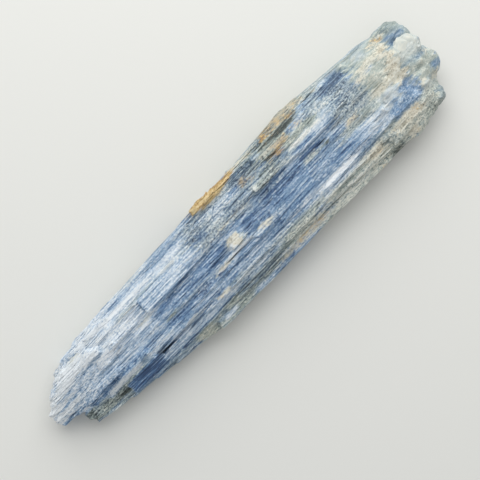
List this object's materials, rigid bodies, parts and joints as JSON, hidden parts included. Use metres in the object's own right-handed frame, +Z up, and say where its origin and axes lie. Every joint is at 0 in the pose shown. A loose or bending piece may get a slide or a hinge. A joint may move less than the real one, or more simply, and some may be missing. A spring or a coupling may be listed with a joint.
{
  "type": "kyanite blade cluster",
  "caption": "Raw mineral specimen: long, flat, splintery blue blades grown side by side into one bar, with pale matrix at one end, lying on a flat cleavage face.",
  "frame": {"origin": "centre of the bounding box, on the plane that the cluster rests on", "axes": "+X along the blades from their free splintery tips to the matrix end, +Y to the rim with the ochre crust, +Z up from the resting face"},
  "size_m": [0.11, 0.0242, 0.0126],
  "materials": {
    "kyanite": "pale to deep blue streaked crystal, pearly on the cleavage faces, with white, cream and ochre stains"
  },
  "bodies": {
    "root": {"kyanite_cluster": "kyanite"}
  },
  "joints": []
}
